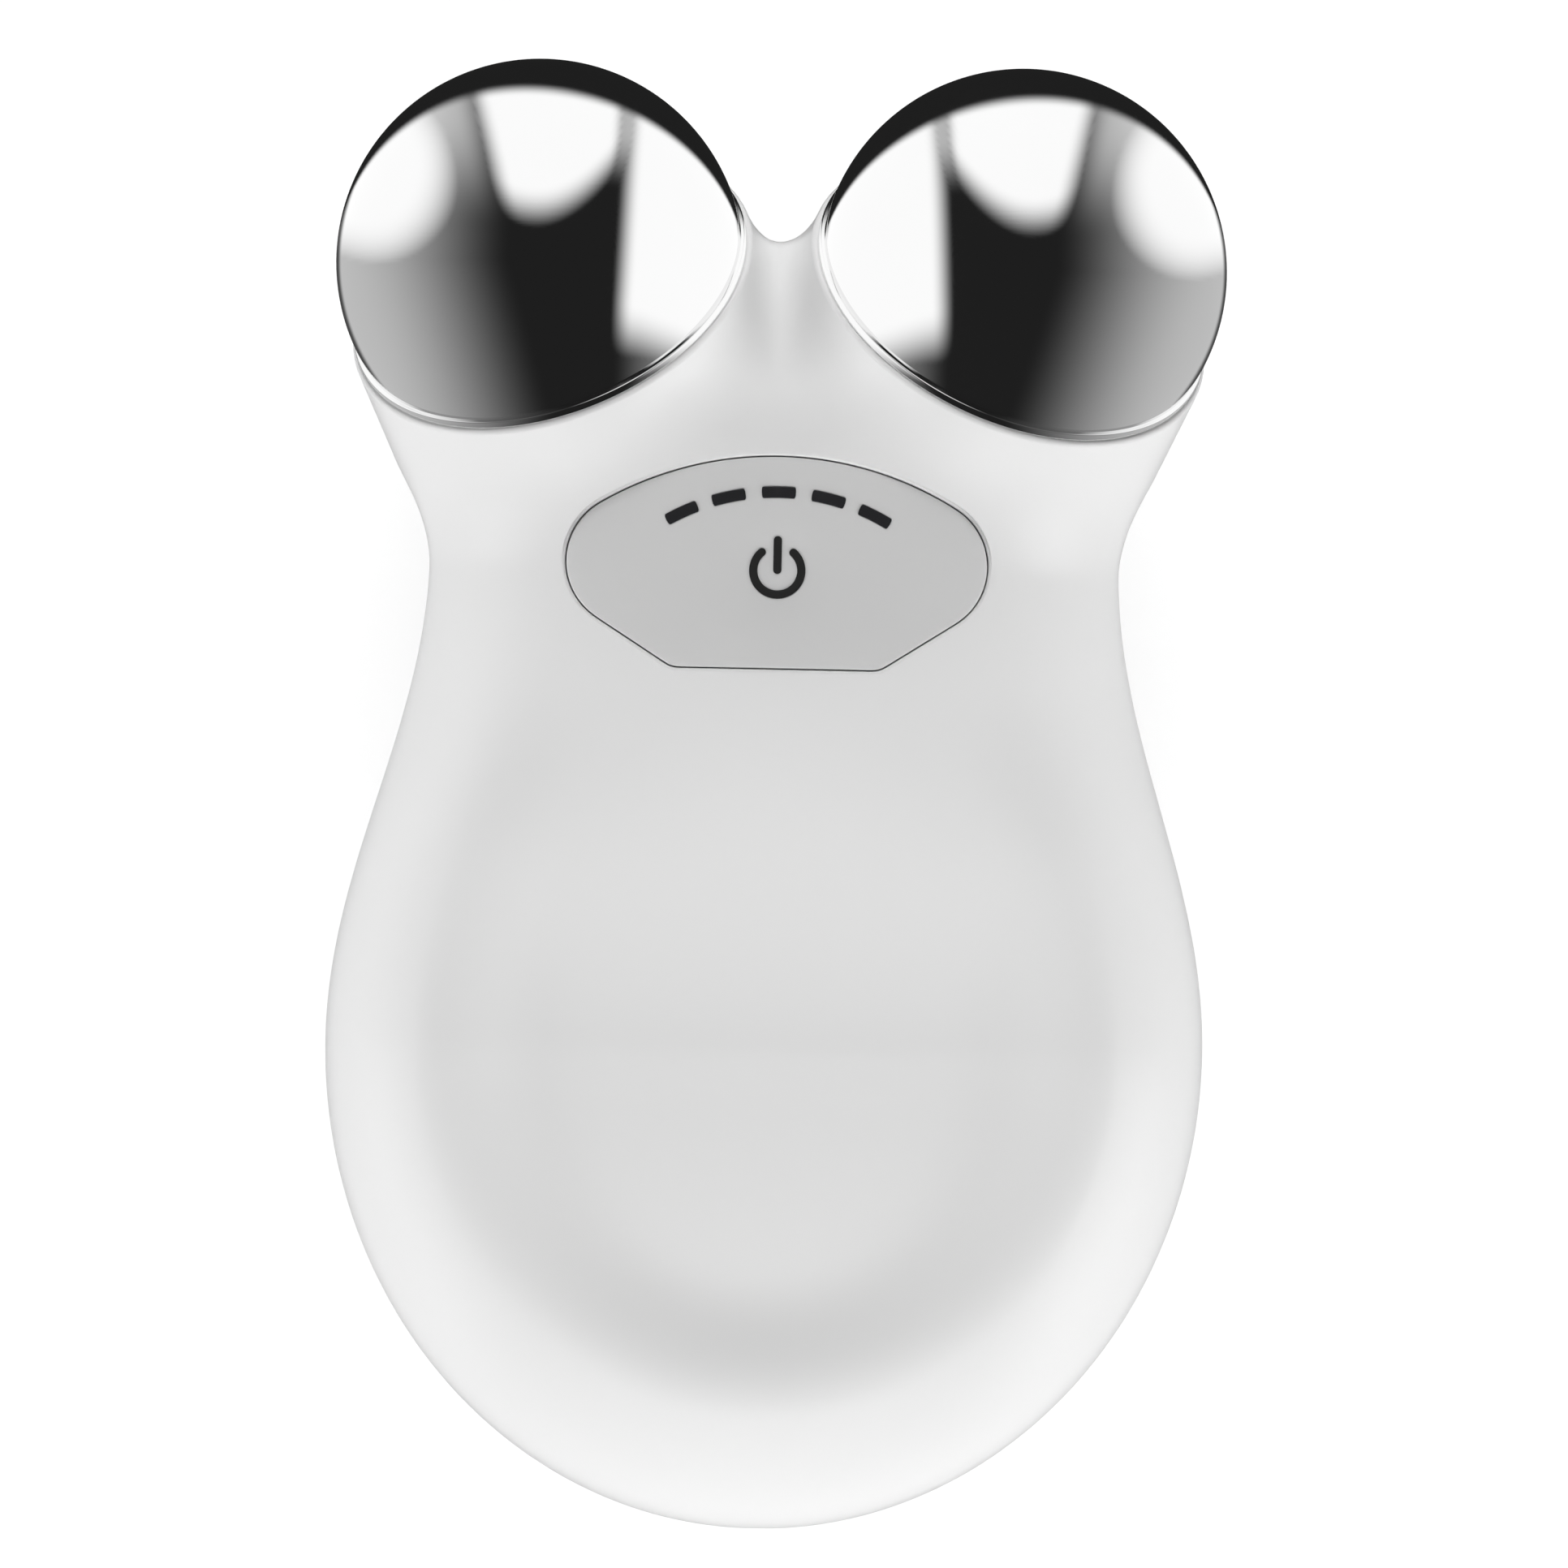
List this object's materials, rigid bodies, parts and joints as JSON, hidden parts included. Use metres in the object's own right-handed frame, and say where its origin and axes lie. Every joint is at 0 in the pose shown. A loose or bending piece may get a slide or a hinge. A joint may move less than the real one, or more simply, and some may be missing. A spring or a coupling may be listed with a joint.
{
  "type": "facial toning device",
  "caption": "Gourd-shaped handheld facial toning device with twin domed chrome electrodes, a wide press key with level windows, and its board, battery and charging port inside.",
  "frame": {"origin": "under the middle of the device, on the surface that its back rests on", "axes": "+Z out of the front face, +Y from the nose toward the electrodes, +X to the right when the front is seen with the electrodes up"},
  "size_m": [0.0604, 0.1, 0.0368],
  "materials": {
    "case_white": "moulded, semi-gloss white",
    "chrome": "mirror-polished plated metal",
    "seal_rubber": "soft, matt",
    "steel": "bright zinc plate",
    "brass": "tinned brass, satin",
    "lead_grey": "silicone insulation",
    "key_grey": "moulded, satin pale grey",
    "smoked_plastic": "smoked window plastic",
    "black_ink": "black inlay",
    "black_plastic": "moulded, matt black",
    "board_green": "green solder mask",
    "ivory_plastic": "moulded, matt ivory",
    "copper": "enamelled copper winding",
    "ceramic_tan": "ceramic chips",
    "cell_foil": "laminated foil pouch",
    "foam_grey": "closed-cell foam",
    "lead_red": "silicone insulation",
    "lead_black": "silicone insulation"
  },
  "bodies": {
    "case": {"front_shell": "case_white", "rear_shell": "case_white", "left_electrode": "chrome", "right_electrode": "chrome", "left_electrode_seal": "seal_rubber", "right_electrode_seal": "seal_rubber", "contact_screws": "steel", "ring_terminals": "brass", "left_electrode_lead": "lead_grey", "right_electrode_lead": "lead_grey", "switch_body": "black_plastic", "circuit_board": "board_green", "level_leds": "ivory_plastic", "microcontroller": "black_plastic", "output_coil": "copper", "buzzer": "black_plastic", "board_components": "ceramic_tan", "board_screws": "steel", "battery_cell": "cell_foil", "battery_pad": "foam_grey", "battery_header": "ivory_plastic", "battery_plug": "ivory_plastic", "battery_lead_red": "lead_red", "battery_lead_black": "lead_black", "charge_board": "board_green", "charge_components": "black_plastic", "usb_port_shell": "steel", "usb_port_tongue": "black_plastic", "charge_leads": "lead_red", "case_screws": "steel"},
    "key": {"key_panel": "key_grey", "level_windows": "smoked_plastic", "power_symbol": "black_ink"},
    "plunger": {"switch_plunger": "black_plastic"}
  },
  "joints": [
    {"name": "key_press", "type": "slide", "parent": "case", "child": "key", "axis": [0, 0, -1], "range_m": [0, 0.0003], "stiffness_N_per_m": 900, "springref_m": -0.0008},
    {"name": "plunger_press", "type": "slide", "parent": "case", "child": "plunger", "axis": [0, 0, -1], "range_m": [0, 0.0003]}
  ],
  "couplings": [
    {"joint": "plunger_press", "follows": "key_press", "ratio": 1}
  ]
}
